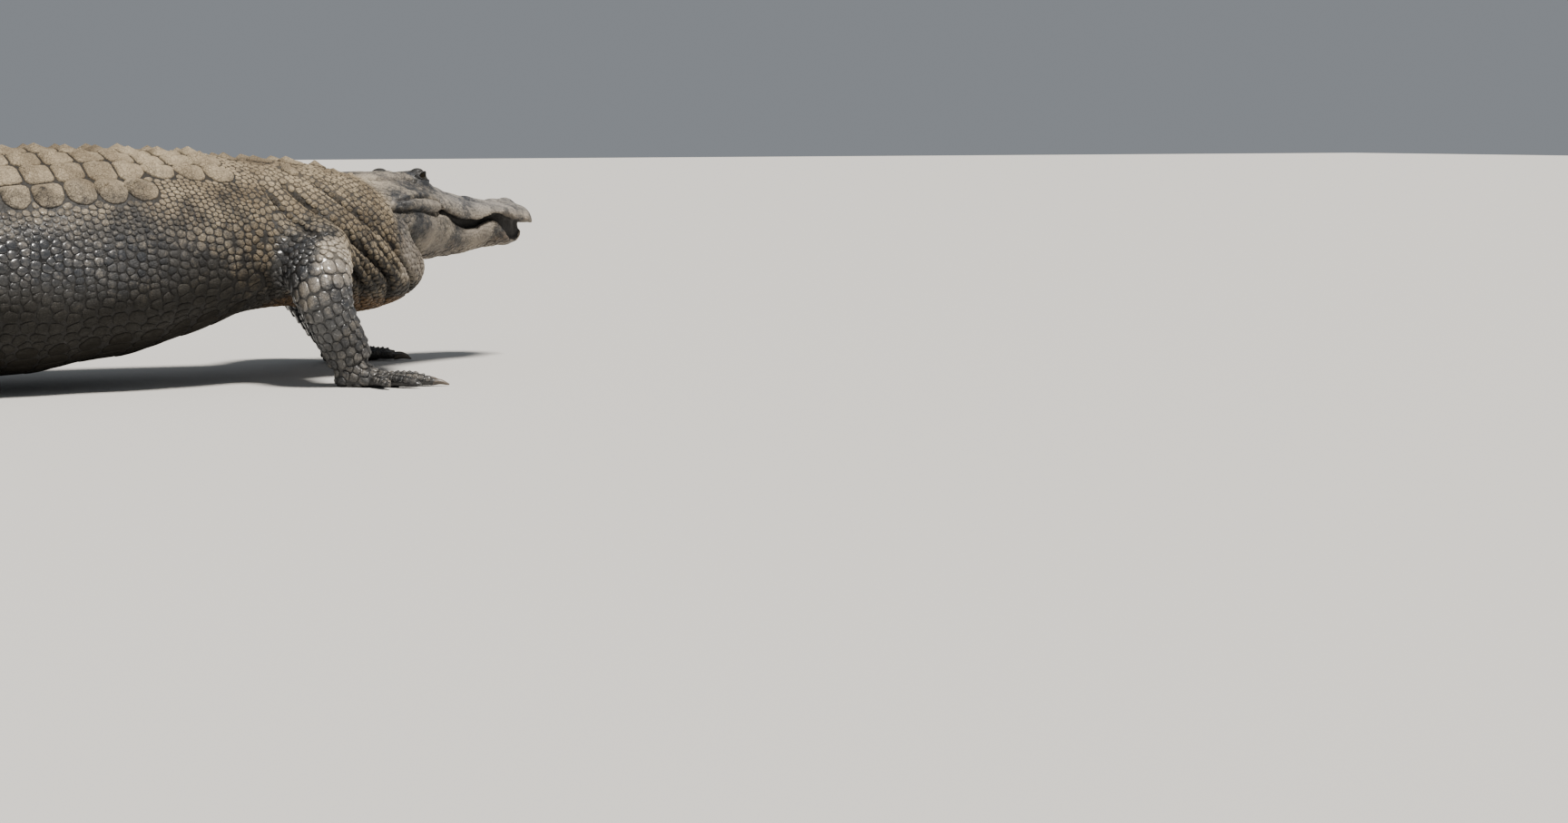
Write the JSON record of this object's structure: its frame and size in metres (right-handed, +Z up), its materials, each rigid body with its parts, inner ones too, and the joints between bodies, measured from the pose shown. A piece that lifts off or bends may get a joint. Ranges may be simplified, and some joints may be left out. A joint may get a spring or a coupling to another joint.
{
  "type": "american alligator model",
  "caption": "Life-size still model of a heavy adult alligator walking, belly raised, head turned a little left, mouth slightly open.",
  "frame": {"origin": "on the floor, below the middle of the model's box", "axes": "+X is where the trunk points, from tail to head; +Y is the animal's left; +Z is up"},
  "size_m": [3.3015, 0.9082, 0.423],
  "materials": {
    "trunk_hide": "scaly hide, dried mud over dark grey, dull above and wet on the flank",
    "tail_hide": "scaly hide, dark grey with dry mud",
    "throat_hide": "creased scaly hide, grey above, tan below",
    "head_hide": "thin pitted hide over bone, grey-tan, dull",
    "limb_hide": "overlapping scales, dark and damp",
    "eye": "wet, dark",
    "claw": "horn, satin"
  },
  "bodies": {
    "root": {"tail_tip": "tail_hide", "tail_rear": "tail_hide", "tail_base": "tail_hide", "trunk_rear": "trunk_hide", "trunk_middle": "trunk_hide", "trunk_front": "trunk_hide", "neck": "throat_hide", "head": "head_hide", "jaw": "head_hide", "eye_left": "eye", "eye_right": "eye", "right_fore_upper_arm": "limb_hide", "right_fore_forearm": "limb_hide", "right_fore_hand": "limb_hide", "right_fore_claw_1": "claw", "right_fore_claw_2": "claw", "right_fore_claw_3": "claw", "left_fore_upper_arm": "limb_hide", "left_fore_forearm": "limb_hide", "left_fore_hand": "limb_hide", "left_fore_claw_1": "claw", "left_fore_claw_2": "claw", "left_fore_claw_3": "claw", "right_hind_thigh": "limb_hide", "right_hind_shank": "limb_hide", "right_hind_foot": "limb_hide", "right_hind_claw_1": "claw", "right_hind_claw_2": "claw", "right_hind_claw_3": "claw", "left_hind_thigh": "limb_hide", "left_hind_shank": "limb_hide", "left_hind_foot": "limb_hide", "left_hind_claw_1": "claw", "left_hind_claw_2": "claw", "left_hind_claw_3": "claw"}
  },
  "joints": []
}
